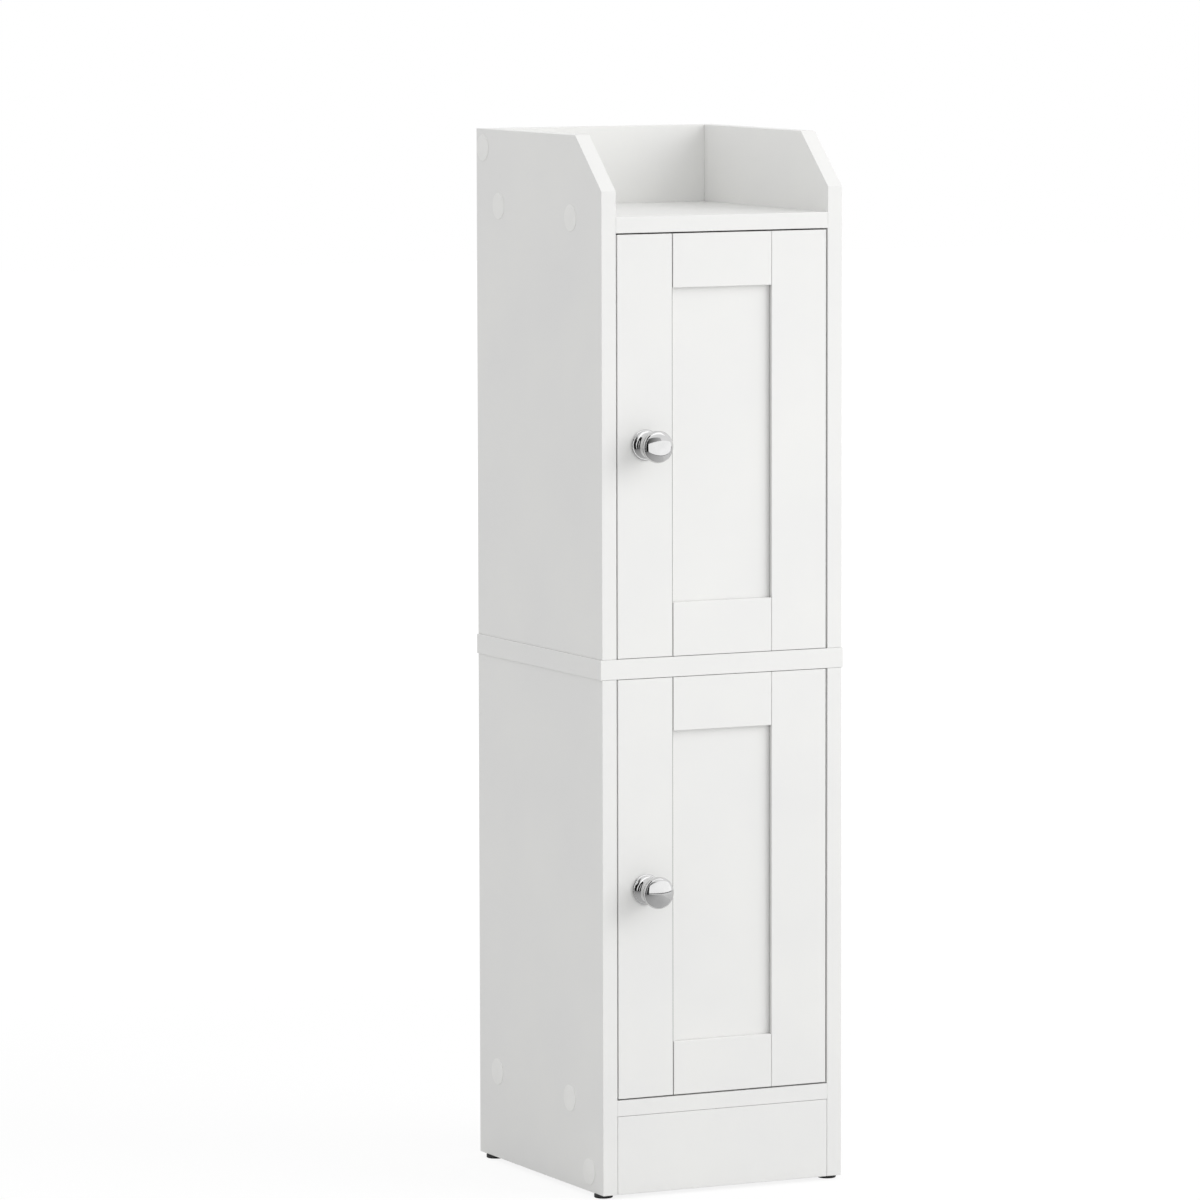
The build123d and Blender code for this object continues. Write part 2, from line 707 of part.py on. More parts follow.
def catch_housing(level):
    """Case with two screwed ears, open at the front for the magnet."""
    ceiling = FLOORS[level] + OPENING_HEIGHT
    wide, deep, tall = CATCH_CASE
    front = catch_front() + MAGNET_OUT
    case = block((KNOB_X - wide / 2, KNOB_X + wide / 2), (front, front + deep), (ceiling - tall, ceiling))
    case = fillet(case.edges().filter_by(Axis.Y).sort_by(Axis.Z)[:2], CATCH_CORNER)
    ear_y = (front + CATCH_WALL, front + deep - CATCH_WALL)
    ear_x = (KNOB_X - CATCH_EAR_REACH, KNOB_X + CATCH_EAR_REACH)
    case += block(ear_x, ear_y, (ceiling - CATCH_EAR, ceiling))
    slot_x, slot_z = magnet_ranges(ceiling, HOLE_PLAY)
    case -= block(slot_x, (front, front + deep - CATCH_WALL), slot_z)
    for x, y, z in catch_screw_places(level):
        case -= rod(SCREW_RADIUS + HOLE_PLAY, (x, y, z), (x, y, ceiling))
    return case


def magnet_ranges(ceiling, play=0.0):
    """Width and height ranges of the magnet in its case."""
    half = CATCH_CASE[0] / 2 - MAGNET_SIDE + play
    top = ceiling - MAGNET_TOP + play
    return (KNOB_X - half, KNOB_X + half), (top - MAGNET_TALL - 2 * play, top)


def catch_magnet(level):
    ceiling = FLOORS[level] + OPENING_HEIGHT
    x, z = magnet_ranges(ceiling)
    return block(x, (catch_front(), catch_front() + CATCH_CASE[1] - MAGNET_SHORT), z)


def catch_screw_places(level):
    z = FLOORS[level] + OPENING_HEIGHT - CATCH_EAR
    y = catch_front() + MAGNET_OUT + CATCH_CASE[1] / 2
    return [(KNOB_X + out, y, z) for out in (-CATCH_SCREW_OUT, CATCH_SCREW_OUT)]


def catch_screws(level):
    screws = []
    for place in catch_screw_places(level):
        screws.append(pan_screw(SCREW_RADIUS, PAN_HEAD, PAN_SCREW_LENGTH, Plane(origin=place)))
    return screws


def catch_screw_cuts(level):
    radius = SCREW_RADIUS + HOLE_PLAY
    return [rod(radius, (x, y, z), (x, y, z + PAN_HOLE)) for x, y, z in catch_screw_places(level)]


def strike_ranges(level):
    """Ranges of the strike plate, level with the magnet."""
    middle = FLOORS[level] + OPENING_HEIGHT - MAGNET_TOP - MAGNET_TALL / 2
    x = (KNOB_X - STRIKE[0] / 2, KNOB_X + STRIKE[0] / 2)
    return x, (DOOR_BACK, DOOR_BACK + STRIKE[1]), (middle - STRIKE[2] / 2, middle + STRIKE[2] / 2)


def strike_screw_places(level):
    x, y, z = strike_ranges(level)
    middle = sum(z) / 2
    return [(x[0] + STRIKE_SCREW_IN, y[1], middle), (x[1] - STRIKE_SCREW_IN, y[1], middle)]


def strike_plate(level):
    x, y, z = strike_ranges(level)
    plate = block(x, y, z)
    plate = fillet(plate.edges().filter_by(Axis.Y), STRIKE_CORNER)
    for cut in strike_screw_cuts(level):
        plate -= cut
    return plate


def strike_screws(level):
    screws = []
    for place in strike_screw_places(level):
        at = Plane(origin=place, z_dir=(0, -1, 0))
        screws.append(pan_screw(STRIKE_SCREW_RADIUS, STRIKE_SCREW_HEAD, STRIKE_SCREW_LENGTH, at))
    return screws


def strike_screw_cuts(level):
    radius, deep = STRIKE_SCREW_RADIUS + HOLE_PLAY, STRIKE_SCREW_LENGTH + HOLE_PLAY
    return [rod(radius, (x, y, z), (x, y - deep, z)) for x, y, z in strike_screw_places(level)]


def build_carcass():
    """Writes the boards of the carcass and what joins them."""
    for level in FLOORS:
        left, right = both_sides(side_board(level))
        for height in hinge_heights(level):
            for out in (-PLATE_SCREW_OUT, PLATE_SCREW_OUT):
                y, at = FRONT + PLATE_SCREW_ROW, height + out
                start = (INNER - PLATE_THICKNESS, y, at)
                right -= rod(SCREW_RADIUS + HOLE_PLAY, start, (start[0] + PAN_HOLE, y, at))
        save(f"{level}_left_side", left)
        save(f"{level}_right_side", right)
        save(f"{level}_back_panel", back_panel(level))
        save(f"{level}_inner_shelf", adjustable_shelf(level))

    depth = (FRONT, BACK)
    kick_z = (BOTTOM, BOTTOM + KICK_HEIGHT - KICK_PLAY)
    cuts = end_dowel_cuts(LOWER_DOWELS[1:])
    save("kick_board", inner_board((FRONT, FRONT + BOARD), kick_z, cuts, KICK_PLAY))

    cuts = end_cuts(LOWER_SCREWS[:2]) + end_dowel_cuts(LOWER_DOWELS[:1])
    cuts.append(back_groove((LOWER_FLOOR - GROOVE_DEPTH, LOWER_FLOOR + HOLE_OVER)))
    save("bottom_shelf", inner_board(depth, (LOWER_FLOOR - BOARD, LOWER_FLOOR), cuts))

    board = middle_board()
    for cut in catch_screw_cuts("lower"):
        board -= cut
    save("middle_board", board)

    cuts = end_cuts(UPPER_SCREWS[:2]) + end_dowel_cuts(UPPER_DOWELS[:1]) + catch_screw_cuts("upper")
    save("top_shelf", inner_board((FRONT, BACK - BOARD), (UPPER_CEILING, SHELF_TOP), cuts))

    cuts = end_cuts(UPPER_SCREWS[2:]) + end_dowel_cuts(UPPER_DOWELS[1:])
    cuts.append(back_groove((UPPER_CEILING - HOLE_OVER, UPPER_CEILING + GROOVE_DEPTH)))
    save("back_rail", inner_board((BACK - BOARD, BACK), (UPPER_CEILING, TOP), cuts))

    save("kick_corner_blocks", *both_sides(corner_block()))
    front_glide, back_glide = floor_glide(FRONT + GLIDE_ROWS[0]), floor_glide(BACK - GLIDE_ROWS[1])
    save("floor_glides", *both_sides(front_glide), *both_sides(back_glide))


def build_fixings():
    """Writes the screws, covers, dowels, cams, bolts and shelf pins."""
    screws, covers, dowels, cams, bolts, pins = [], [], [], [], [], []
    places = LOWER_SCREWS + UPPER_SCREWS
    shifts = LOWER_COVER_SHIFTS + UPPER_COVER_SHIFTS
    for (row, height), (along, up) in zip(places, shifts):
        screws += both_sides(side_screw(row, height))
        covers += both_sides(screw_cover(row + along, height + up))
    for place in LOWER_DOWELS + UPPER_DOWELS:
        dowels += both_sides(end_dowel(*place))
    dowels += both_sides(middle_dowel())
    for level, joint in (("lower", 1), ("upper", -1)):
        for row, height in cam_places(level):
            cams += both_sides(cam_disc(row, height, joint))
        for row in PIN_ROWS:
            pins += both_sides(shelf_pin(row, pin_heights(level)[1]))
    for row in CAM_ROWS:
        bolts += both_sides(cam_bolt(row))
    save("side_screws", *screws)
    save("screw_covers", *covers)
    save("dowels", *dowels)
    save("cam_discs", *cams)
    save("cam_bolts", *bolts)
    save("shelf_pins", *pins)


def build_hinge_arms():
    """Writes the hinge parts that stay on the carcass, and the catches."""
    arms, plates, plate_fixings, arm_fixings = [], [], [], []
    for level in FLOORS:
        for height in hinge_heights(level):
            arm, plate = hinge_arm(height), mounting_plate(height)
            for cut in arm_screw_cuts(height):
                arm -= cut
                plate -= cut
            arms.append(arm)
            plates.append(plate)
            plate_fixings += plate_screws(height)
            arm_fixings += arm_screws(height)
    save("hinge_arms", *arms)
    save("hinge_plates", *plates)
    save("hinge_plate_screws", *plate_fixings)
    save("hinge_arm_screws", *arm_fixings)
    save("catch_housings", *[catch_housing(level) for level in FLOORS])
    save("catch_magnets", *[catch_magnet(level) for level in FLOORS])
    save("catch_screws", *[screw for level in FLOORS for screw in catch_screws(level)])


def build_door(level):
    """Writes one door with its knob, hinge cups and strike plate."""
    low, high = door_zone(level)
    upright = left_stile(level)
    for cut in strike_screw_cuts(level):
        upright -= cut
    save(f"{level}_door_left_stile", upright)
    save(f"{level}_door_right_stile", right_stile(level))
    save(f"{level}_door_bottom_rail", rail((low, low + RAIL), 1, level))
    save(f"{level}_door_top_rail", rail((high - RAIL, high), -1, level))
    save(f"{level}_door_panel", door_panel(level))
    save(f"{level}_knob", knob(level))
    save(f"{level}_knob_screw", knob_screw(level))
    heights = hinge_heights(level)
    save(f"{level}_hinge_cups", *[hinge_cup(height) for height in heights])
    save(f"{level}_cup_pins", *[cup_pin(height) for height in heights])
    places = [place for height in heights for place in cup_screw_places(height)]
    save(f"{level}_cup_screws", *[cup_screw(place) for place in places])
    save(f"{level}_strike_plate", strike_plate(level))
    save(f"{level}_strike_screws", *strike_screws(level))


os.makedirs("parts", exist_ok=True)
build_carcass()
build_fixings()
build_hinge_arms()
for level in FLOORS:
    build_door(level)
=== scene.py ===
import math

import bmesh
import bpy
from mathutils import Matrix, Vector


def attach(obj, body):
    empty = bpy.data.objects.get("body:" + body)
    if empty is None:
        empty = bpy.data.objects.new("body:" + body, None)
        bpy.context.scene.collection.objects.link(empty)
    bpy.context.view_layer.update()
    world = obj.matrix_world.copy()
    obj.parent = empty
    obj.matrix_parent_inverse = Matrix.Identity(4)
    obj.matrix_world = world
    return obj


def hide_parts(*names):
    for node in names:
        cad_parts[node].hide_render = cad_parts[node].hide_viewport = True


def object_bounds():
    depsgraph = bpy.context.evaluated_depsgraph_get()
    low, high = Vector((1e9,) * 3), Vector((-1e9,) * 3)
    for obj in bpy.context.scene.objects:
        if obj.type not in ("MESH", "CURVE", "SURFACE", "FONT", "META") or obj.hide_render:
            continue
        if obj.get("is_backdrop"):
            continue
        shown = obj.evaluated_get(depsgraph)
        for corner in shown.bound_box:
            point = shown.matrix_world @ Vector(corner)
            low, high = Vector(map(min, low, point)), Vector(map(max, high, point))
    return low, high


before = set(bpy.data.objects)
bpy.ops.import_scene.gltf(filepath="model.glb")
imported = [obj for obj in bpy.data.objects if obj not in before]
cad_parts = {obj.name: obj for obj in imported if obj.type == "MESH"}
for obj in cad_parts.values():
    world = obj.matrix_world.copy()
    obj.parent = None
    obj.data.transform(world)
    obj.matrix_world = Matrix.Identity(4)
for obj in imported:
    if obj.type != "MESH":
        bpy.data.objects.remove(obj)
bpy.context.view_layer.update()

scene = bpy.context.scene
scene.view_settings.view_transform = "Standard"


# Viewpoint. The cabinet is seen from its left front, a little above its middle,
# through a long lens from about five metres away.
EYE = Vector((-2.41742, -4.84410, 0.9774))
LOOK = Vector((0.43604, 0.89441, -0.09949))
ROLL = math.radians(-0.126)
LENS = 216.0
SENSOR = 36.0
FARTHEST = 60.0

sight = bpy.data.cameras.new("sight")
sight.lens = LENS
sight.sensor_width = SENSOR
sight.clip_end = FARTHEST
camera = bpy.data.objects.new("camera", sight)
scene.collection.objects.link(camera)
across = LOOK.cross(Vector((0, 0, 1))).normalized()
axes = Matrix((across, across.cross(LOOK), -LOOK)).transposed()
camera.matrix_world = Matrix.Translation(EYE) @ (axes @ Matrix.Rotation(ROLL, 3, "Z")).to_4x4()
scene.camera = camera


# Room. An even white room lights the cabinet from all round, and eyes and mirrors see it as
# white; one broad lamp at the front right, a little above it, leaves the left side a tone darker.
AMBIENT = 0.838
LAMP_POWER = 50.0
LAMP_SIDE = 2.6
LAMP_PLACE = Vector((2.32, -2.25, 2.03))
LAMP_AIM = Vector((0.0, -0.09, 0.55))


def node(tree, kind, links=None, **settings):
    """Adds one node; each link is an output socket, a list of them or a plain value."""
    made = tree.nodes.new(kind)
    for name, value in settings.items():
        setattr(made, name, value)
    for socket, value in (links or {}).items():
        many = value if isinstance(value, list) else [value]
        for one in many:
            if isinstance(one, bpy.types.NodeSocket):
                tree.links.new(one, made.inputs[socket])
            else:
                made.inputs[socket].default_value = one
    return made


def linear(code):
    """Linear colour of an sRGB hex value."""
    parts = [int(code[i : i + 2], 16) / 255 for i in (1, 3, 5)]
    return (*(c / 12.92 if c <= 0.04045 else ((c + 0.055) / 1.055) ** 2.4 for c in parts), 1.0)


room = bpy.data.worlds.new("white_room")
room.use_nodes = True
scene.world = room
tree = room.node_tree
tree.nodes.clear()
ray = node(tree, "ShaderNodeLightPath").outputs
eyes = node(
    tree,
    "ShaderNodeMath",
    {0: ray["Is Camera Ray"], 1: ray["Is Glossy Ray"]},
    operation="MAXIMUM",
)
seen = node(
    tree,
    "ShaderNodeMath",
    {0: eyes.outputs[0], 1: ray["Is Transmission Ray"]},
    operation="MAXIMUM",
)
strength = node(
    tree,
    "ShaderNodeMapRange",
    {"Value": seen.outputs[0], "To Min": AMBIENT, "To Max": 1.0},
)
sky = node(
    tree,
    "ShaderNodeBackground",
    {"Color": linear("#FFFFFF"), "Strength": strength.outputs[0]},
)
node(tree, "ShaderNodeOutputWorld", {"Surface": sky.outputs[0]})

lamp = bpy.data.lights.new("broad_lamp", "AREA")
lamp.energy = LAMP_POWER
lamp.size = LAMP_SIDE
lamp_stand = bpy.data.objects.new("broad_lamp", lamp)
scene.collection.objects.link(lamp_stand)
lamp_stand.location = LAMP_PLACE
lamp_stand.rotation_euler = (LAMP_AIM - LAMP_PLACE).to_track_quat("-Z", "Y").to_euler()
lamp_stand.visible_camera = False
lamp_stand.visible_glossy = False


# Floor. A wide sheet of pale paper that keeps the soft shadow under and beside the cabinet; a
# lift seen by the camera alone takes it nearly to white, and fully to white further off.
FLOOR_HALF = 12.0
FLOOR_TONE = "#DCDCDC"
FLOOR_LIFT = 1.08
FLOOR_SHARE = 0.80
FADE_START = 0.8
FADE_END = 3.5


def sheet_of(name, corners):
    """One flat four-cornered stage piece."""
    mesh = bpy.data.meshes.new(name)
    mesh.from_pydata([tuple(corner) for corner in corners], [], [(0, 1, 2, 3)])
    made = bpy.data.objects.new(name, mesh)
    scene.collection.objects.link(made)
    made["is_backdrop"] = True
    return made


corners = [(-1, -1), (1, -1), (1, 1), (-1, 1)]
floor = sheet_of("floor", [(x * FLOOR_HALF, y * FLOOR_HALF, 0) for x, y in corners])
paper = bpy.data.materials.new("pale_floor_paper")
paper.use_nodes = True
tree = paper.node_tree
tree.nodes.clear()
sheet = node(tree, "ShaderNodeBsdfDiffuse", {"Color": linear(FLOOR_TONE)})
lift = node(tree, "ShaderNodeEmission", {"Color": linear("#FFFFFF"), "Strength": FLOOR_LIFT})
where = node(tree, "ShaderNodeTexCoord").outputs["Object"]
distance = node(tree, "ShaderNodeVectorMath", {0: where}, operation="LENGTH").outputs["Value"]
fade = node(
    tree,
    "ShaderNodeMapRange",
    {"Value": distance, "From Min": FADE_START, "From Max": FADE_END, "To Min": FLOOR_SHARE},
)
ray = node(tree, "ShaderNodeLightPath").outputs
share = node(
    tree,
    "ShaderNodeMath",
    {0: fade.outputs[0], 1: ray["Is Camera Ray"]},
    operation="MULTIPLY",
)
both = node(
    tree,
    "ShaderNodeMixShader",
    {0: share.outputs[0], 1: sheet.outputs[0], 2: lift.outputs[0]},
)
node(tree, "ShaderNodeOutputMaterial", {"Surface": both.outputs[0]})
floor.data.materials.append(paper)


# Mirror cards. Glowing sheets that light nothing and cast no shadow; only mirrors and sheens see them, so
# they are painted reflections: a bright sheet close in front, a dark opening above it on the left, a bright
# wall above that and dark strips at both sides. Each has a tone at its start and at its end, a strength,
# where it starts and ends, and which way it rises.
CARDS = {
    "bright_sheet": ("#EFEFEF", "#FFFFFF", 1.36, (-0.58, -0.66, 0.22), (1.05, -0.20, 0.22), (0, 0, 0.54)),
    "sheet_foot": ("#A0A0A0", "#303030", 1.0, (-0.58, -0.66, 0.19), (1.05, -0.20, 0.19), (0, 0, 0.03)),
    "dark_opening": ("#0A0A0A", "#D0D0D0", 1.0, (-0.95, -0.80, 0.80), (0.42, -1.00, 0.80), (0, 0, 0.65)),
    "bright_upper_wall": ("#FFFFFF", "#FFFFFF", 1.55, (-1.6, -0.9, 1.9), (1.6, -0.7, 1.9), (0, 0, 1.5)),
    "left_strip_front": ("#141414", "#1C1C1C", 1.0, (-1.02, -0.64, 0.04), (-0.93, -1.0, 0.04), (0, 0, 1.16)),
    "left_strip_middle": ("#0C0C0C", "#0C0C0C", 1.0, (-1.10, -0.5, 0.04), (-1.06, -0.2, 0.04), (0, 0, 1.26)),
    "left_strip_back": ("#181818", "#181818", 1.0, (-1.10, -0.12, 0.04), (-1.09, 0.34, 0.04), (0, 0, 1.46)),
    "left_eaves": ("#202020", "#202020", 1.0, (-1.10, -0.55, 1.35), (-1.09, 0.40, 1.35), (0.4, 0, 0.8)),
    "left_mat": ("#6C6C6C", "#D8D8D8", 1.0, (-1.30, -1.30, 0.01), (0.40, -1.30, 0.01), (0, 1.7, 0)),
    "right_strip": ("#1C1C1C", "#1C1C1C", 1.0, (1.20, 0.12, 0.30), (1.21, 0.50, 0.30), (0, 0, 0.65)),
}
for title, (tone, far_tone, strength, start, end, rise) in CARDS.items():
    start, end, rise = Vector(start), Vector(end), Vector(rise)
    card = sheet_of(title, [start, end, end + rise, start + rise])
    glow = bpy.data.materials.new(title)
    glow.use_nodes = True
    tree = glow.node_tree
    tree.nodes.clear()
    where = node(tree, "ShaderNodeTexCoord").outputs["Object"]
    spot = node(tree, "ShaderNodeSeparateXYZ", {0: where}).outputs
    share = node(
        tree,
        "ShaderNodeMapRange",
        {"Value": spot["X"], "From Min": start.x, "From Max": end.x},
    )
    hue = node(
        tree,
        "ShaderNodeMix",
        {0: share.outputs[0], 6: linear(tone), 7: linear(far_tone)},
        data_type="RGBA",
    )
    shine = node(tree, "ShaderNodeEmission", {"Color": hue.outputs[2], "Strength": strength})
    node(tree, "ShaderNodeOutputMaterial", {"Surface": shine.outputs[0]})
    card.data.materials.append(glow)
    card.visible_camera = False
    card.visible_diffuse = False
    card.visible_shadow = False
    card.visible_transmission = False


# Boards of the carcass and the doors. Fibreboard of 12 and 15 mm with eased edges, primed and
# sprayed with white satin lacquer, then screwed, doweled and cammed together; each door is a
# frame of four such boards round a thinner panel.
LACQUERED = (
    "lower_left_side",
    "lower_right_side",
    "kick_board",
    "bottom_shelf",
    "middle_board",
    "upper_left_side",
    "upper_right_side",
    "top_shelf",
    "back_rail",
    "lower_inner_shelf",
    "upper_inner_shelf",
)
DOOR_BOARDS = ("left_stile", "right_stile", "top_rail", "bottom_rail", "panel")
# Nearly all of a noise lies in its middle span, and wipe marks are finer than patches of tone.
NOISE_SPAN = {"From Min": 0.3, "From Max": 0.7}
WIPES_IN_PATCH = 7.0
# Painted shade on the stiles: a fine dark line along the left stiles' inner edge and a grey shade in the
# deep corner beside the right stiles; between which X and which Y it fades in, and its tone.
PAINTED_SHADE_STRIPS = {
    "left": ((-0.0423, -0.0417), (-0.0932, -0.0936), "#565654"),
    "right": ((0.0423, 0.0421), (-0.0936, -0.0900), "#B4B4B2"),
}


def coat(title, tone, deeper, patch, rough, grain, height, metal=0.0, pattern=(1.0, 1.0, 1.0)):
    """A surface whose tone and gloss wander over patches, with a fine relief, in millimetres."""
    made = bpy.data.materials.new(title)
    made.use_nodes = True
    tree = made.node_tree
    tree.nodes.clear()
    where = node(tree, "ShaderNodeTexCoord").outputs["Object"]
    laid = node(tree, "ShaderNodeMapping", {"Vector": where, "Scale": pattern}).outputs[0]
    patches = node(
        tree,
        "ShaderNodeTexNoise",
        {"Vector": laid, "Scale": 1000 / patch, "Detail": 2.0},
    ).outputs["Fac"]
    spread = node(tree, "ShaderNodeMapRange", {"Value": patches, **NOISE_SPAN})
    hue = node(
        tree,
        "ShaderNodeMix",
        {0: spread.outputs[0], 6: linear(tone), 7: linear(deeper)},
        data_type="RGBA",
    )
    wipes = node(
        tree,
        "ShaderNodeTexNoise",
        {"Vector": laid, "Scale": WIPES_IN_PATCH * 1000 / patch, "Detail": 3.0},
    ).outputs["Fac"]
    gloss = node(
        tree,
        "ShaderNodeMapRange",
        {"Value": wipes, **NOISE_SPAN, "To Min": rough[0], "To Max": rough[1]},
    )
    skin = node(
        tree,
        "ShaderNodeTexNoise",
        {"Vector": laid, "Scale": 1000 / grain, "Detail": 2.0},
    ).outputs["Fac"]
    relief = node(tree, "ShaderNodeBump", {"Height": skin, "Distance": height / 1000})
    shade = node(
        tree,
        "ShaderNodeBsdfPrincipled",
        {
            "Base Color": hue.outputs[2],
            "Metallic": metal,
            "Roughness": gloss.outputs[0],
            "Normal": relief.outputs[0],
        },
    )
    node(tree, "ShaderNodeOutputMaterial", {"Surface": shade.outputs[0]})
    return made


def dress(material, *names):
    """Gives CAD nodes their finish."""
    for name in names:
        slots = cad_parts[name].data.materials
        slots.clear()
        slots.append(material)


# White satin lacquer, sprayed: soft sheen, the faint mottle of a sprayed film, fine orange peel.
lacquer = coat("white_satin_lacquer", "#EEEEEC", "#EBEBEA", 90.0, (0.38, 0.44), 2.5, 0.006)
dress(lacquer, *LACQUERED)
for level in ("lower", "upper"):
    dress(lacquer, *[f"{level}_door_{board}" for board in DOOR_BOARDS])
# The same lacquer with shade painted into its colour: a fine dark upright line of painted shade along the
# sharp inner edge of the left stiles, and a grey painted shade in the deep corner beside the right stiles,
# darkest in the corner.
for side, (inward, backward, tone) in PAINTED_SHADE_STRIPS.items():
    shaded_lacquer = lacquer.copy()
    shaded_lacquer.name = f"lacquer_painted_shade_on_{side}_stile"
    tree = shaded_lacquer.node_tree
    shade = next(each for each in tree.nodes if each.type == "BSDF_PRINCIPLED")
    full = shade.inputs["Base Color"].links[0].from_socket
    where = node(tree, "ShaderNodeTexCoord").outputs["Object"]
    spot = node(tree, "ShaderNodeSeparateXYZ", {0: where}).outputs
    sideways = node(
        tree,
        "ShaderNodeMapRange",
        {"Value": spot["X"], "From Min": inward[0], "From Max": inward[1]},
    )
    deep = node(
        tree,
        "ShaderNodeMapRange",
        {"Value": spot["Y"], "From Min": backward[0], "From Max": backward[1]},
    )
    # How strongly the painted shade lies on each spot: across the edge times into the corner.
    near = node(
        tree,
        "ShaderNodeMath",
        {0: sideways.outputs[0], 1: deep.outputs[0]},
        operation="MULTIPLY",
    )
    hue = node(
        tree,
        "ShaderNodeMix",
        {0: near.outputs[0], 6: full, 7: linear(tone)},
        data_type="RGBA",
    )
    tree.links.new(hue.outputs[2], shade.inputs["Base Color"])
    dress(shaded_lacquer, f"lower_door_{side}_stile", f"upper_door_{side}_stile")


# Back panels. Thin fibreboard with a white paper foil, slid into grooves from behind. The foil
# is duller than the lacquer and has a fine embossed grain.
foil = coat("white_paper_foil", "#E9E9E6", "#E4E4E1", 60.0, (0.55, 0.65), 0.9, 0.02)
dress(foil, "lower_back_panel", "upper_back_panel")


# Corner blocks. Two sawn beech blocks behind the ends of the kick board, each held by the
# lowest screw of its side board. Bare wood shows a fine upright grain.
UPRIGHT = (1.0, 1.0, 0.08)
beech = coat("sawn_beech_upright", "#D2AC7C", "#B98A5A", 5.0, (0.55, 0.7), 0.8, 0.03, pattern=UPRIGHT)
dress(beech, "kick_corner_blocks")


# Dowels. Fluted beech pegs, glued into the board ends; two longer ones pass through the middle
# board into the sides below and above it.
DOWEL = {
    "Radius": 3.0,
    "Flute Depth": 0.25,
    "Flutes": 16,
    "Length": 20.0,
    "Lead": 1.0,
    "Lead Share": 0.82,
}
LENGTHWAYS = (0.08, 1.0, 1.0)
# Solids are told apart by their welded corners and sorted to a hundredth of a millimetre.
SAME_POINT = 1e-6
HUNDREDTHS = 5
# Screws stand turned by a fixed draw, and an edge that bends more than this angle stays crisp.
SEED = 7
SHARP_ABOVE = math.radians(35)


def solids_of(name):
    """Lowest and highest corner of each separate solid in a CAD node."""
    shape = bmesh.new()
    shape.from_mesh(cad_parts[name].data)
    bmesh.ops.remove_doubles(shape, verts=shape.verts, dist=SAME_POINT)
    waiting = set(shape.verts)
    boxes = []
    while waiting:
        reached = [waiting.pop()]
        corners = []
        while reached:
            corner = reached.pop()
            corners.append(corner.co.copy())
            for edge in corner.link_edges:
                other = edge.other_vert(corner)
                if other in waiting:
                    waiting.remove(other)
                    reached.append(other)
        low = Vector([min(corner[i] for corner in corners) for i in range(3)])
        high = Vector([max(corner[i] for corner in corners) for i in range(3)])
        boxes.append((low, high))
    shape.free()
    return sorted(boxes, key=lambda box: tuple(round(value, HUNDREDTHS) for value in box[0]))


def start_tree(title, sizes):
    """Starts a Geometry Nodes tree that takes places, a finish and named sizes in millimetres."""
    tree = bpy.data.node_groups.new(title, "GeometryNodeTree")
    sockets = tree.interface
    sockets.new_socket("Geometry", in_out="OUTPUT", socket_type="NodeSocketGeometry")
    sockets.new_socket("Places", in_out="INPUT", socket_type="NodeSocketGeometry")
    sockets.new_socket("Finish", in_out="INPUT", socket_type="NodeSocketMaterial")
    for name, value in sizes.items():
        kind = {int: "Int", float: "Float", tuple: "Vector"}[type(value)]
        socket = sockets.new_socket(name, in_out="INPUT", socket_type="NodeSocket" + kind)
        socket.default_value = value
    return tree, node(tree, "NodeGroupInput").outputs


def end_tree(tree, given, shape, roll=0.0):
    """Sets the shape on each place, turned about its axis by up to the roll, and finishes it."""
    axis = node(tree, "GeometryNodeInputNamedAttribute", {"Name": "axis"}, data_type="FLOAT_VECTOR")
    scale = node(tree, "GeometryNodeInputNamedAttribute", {"Name": "scale"}, data_type="FLOAT_VECTOR")
    turn = node(tree, "FunctionNodeAlignRotationToVector", {"Vector": axis.outputs[0]}, axis="Z")
    chance = node(
        tree,
        "FunctionNodeRandomValue",
        {"Min": 0.0, "Max": roll, "Seed": SEED},
        data_type="FLOAT",
    )
    angle = next(socket for socket in chance.outputs if socket.enabled)
    spin = node(tree, "FunctionNodeAxisAngleToRotation", {"Axis": (0, 0, 1), "Angle": angle})
    turn = node(
        tree,
        "FunctionNodeRotateRotation",
        {0: turn.outputs[0], 1: spin.outputs[0]},
        rotation_space="LOCAL",
    )
    laid = node(
        tree,
        "GeometryNodeInstanceOnPoints",
        {
            "Points": given["Places"],
            "Instance": shape,
            "Rotation": turn.outputs[0],
            "Scale": scale.outputs[0],
        },
    )
    real = node(tree, "GeometryNodeRealizeInstances", {"Geometry": laid.outputs[0]})
    smooth = node(tree, "GeometryNodeSetShadeSmooth", {0: real.outputs[0]}, domain="FACE")
    bend = node(tree, "GeometryNodeInputMeshEdgeAngle")
    sharp = node(
        tree,
        "FunctionNodeCompare",
        {0: bend.outputs[0], 1: SHARP_ABOVE},
        data_type="FLOAT",
        operation="GREATER_THAN",
    )
    crisp = node(
        tree,
        "GeometryNodeSetShadeSmooth",
        {"Geometry": smooth.outputs[0], "Selection": sharp.outputs[0], "Shade Smooth": False},
        domain="EDGE",
    )
    painted = node(
        tree,
        "GeometryNodeSetMaterial",
        {"Geometry": crisp.outputs[0], "Material": given["Finish"]},
    )
    node(tree, "NodeGroupOutput", {0: painted.outputs[0]})


